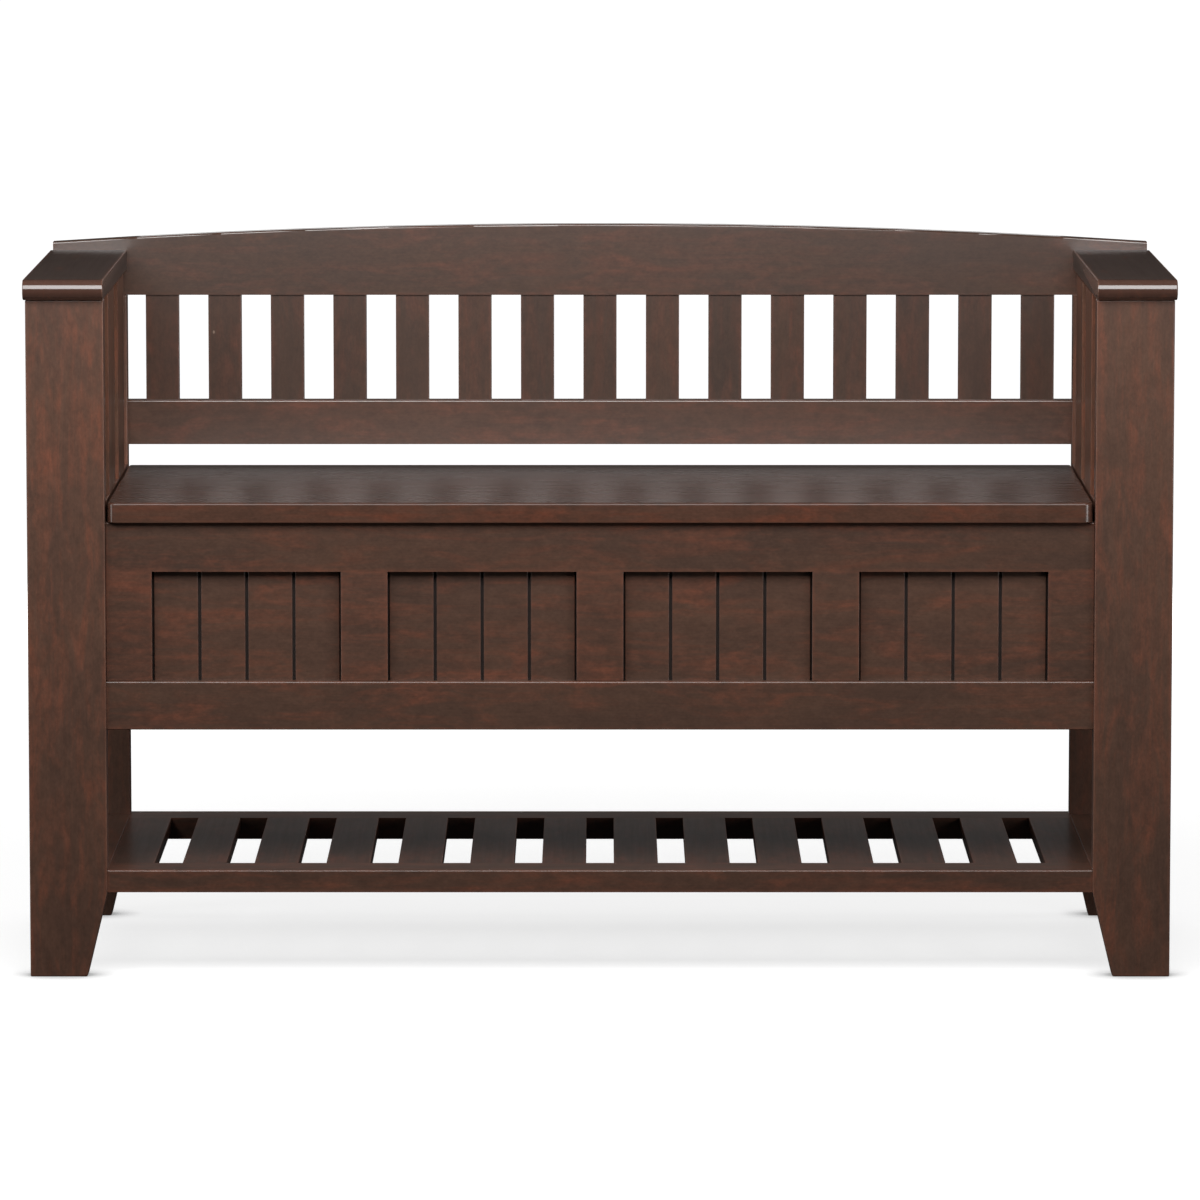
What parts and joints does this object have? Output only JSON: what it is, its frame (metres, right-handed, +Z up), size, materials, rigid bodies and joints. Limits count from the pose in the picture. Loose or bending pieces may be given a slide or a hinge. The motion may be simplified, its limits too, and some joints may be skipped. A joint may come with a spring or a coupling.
{
  "type": "entryway storage bench",
  "caption": "Wooden hall bench with a slatted arched back, armrests, a lift-up seat over a storage box with a panelled apron, and a slatted shoe shelf.",
  "frame": {"origin": "on the floor, under the middle of the whole bench", "axes": "+X along the bench to the sitter's left, -Y to the front where the sitter's legs hang, +Z up"},
  "size_m": [1.223, 0.45, 0.7769],
  "materials": {
    "stained_wood": "dark brown stain under a satin clear coat",
    "plain_wood": "bare plywood and cleats",
    "steel": "plated steel"
  },
  "bodies": {
    "frame": {"front_leg_left": "stained_wood", "front_leg_right": "stained_wood", "back_leg_left": "stained_wood", "back_leg_right": "stained_wood", "armrest_left": "stained_wood", "armrest_right": "stained_wood", "arm_slats_left": "stained_wood", "arm_slats_right": "stained_wood", "side_panel_left": "stained_wood", "side_panel_right": "stained_wood", "side_stretcher_left": "stained_wood", "side_stretcher_right": "stained_wood", "back_top_rail": "stained_wood", "back_lower_rail": "stained_wood", "back_slat_01": "stained_wood", "back_slat_02": "stained_wood", "back_slat_03": "stained_wood", "back_slat_04": "stained_wood", "back_slat_05": "stained_wood", "back_slat_06": "stained_wood", "back_slat_07": "stained_wood", "back_slat_08": "stained_wood", "back_slat_09": "stained_wood", "back_slat_10": "stained_wood", "back_slat_11": "stained_wood", "back_slat_12": "stained_wood", "back_slat_13": "stained_wood", "back_slat_14": "stained_wood", "back_slat_15": "stained_wood", "apron_frame": "stained_wood", "apron_bottom_rail": "stained_wood", "bead_panel": "stained_wood", "box_back": "stained_wood", "box_floor": "plain_wood", "floor_cleats": "plain_wood", "shelf_front_rail": "stained_wood", "shelf_back_rail": "stained_wood", "shelf_slat_01": "stained_wood", "shelf_slat_02": "stained_wood", "shelf_slat_03": "stained_wood", "shelf_slat_04": "stained_wood", "shelf_slat_05": "stained_wood", "shelf_slat_06": "stained_wood", "shelf_slat_07": "stained_wood", "shelf_slat_08": "stained_wood", "shelf_slat_09": "stained_wood", "shelf_slat_10": "stained_wood", "shelf_slat_11": "stained_wood", "shelf_slat_12": "stained_wood", "shelf_slat_13": "stained_wood", "shelf_slat_14": "stained_wood", "hinge_box_leaves": "steel", "hinge_pins": "steel", "stay_box_pins": "steel"},
    "lid": {"lid_board": "stained_wood", "hinge_lid_leaves": "steel", "stay_lid_brackets": "steel"},
    "stay_left": {"stay_arm_left": "steel"},
    "stay_right": {"stay_arm_right": "steel"}
  },
  "joints": [
    {"name": "lid_hinge", "type": "hinge", "parent": "frame", "child": "lid", "pos_m": [0, 0.191, 0.488], "axis": [-1, 0, 0], "range_deg": [0, 78]},
    {"name": "stay_left_pivot", "type": "hinge", "parent": "lid", "child": "stay_left", "pos_m": [-0.51225, 0.07171, 0.476], "axis": [-1, 0, 0], "range_deg": [-39, 0]},
    {"name": "stay_right_pivot", "type": "hinge", "parent": "lid", "child": "stay_right", "pos_m": [0.51225, 0.07171, 0.476], "axis": [-1, 0, 0], "range_deg": [-39, 0]}
  ],
  "couplings": [
    {"joint": "stay_left_pivot", "follows": "lid_hinge", "ratio": -0.5},
    {"joint": "stay_right_pivot", "follows": "lid_hinge", "ratio": -0.5}
  ]
}
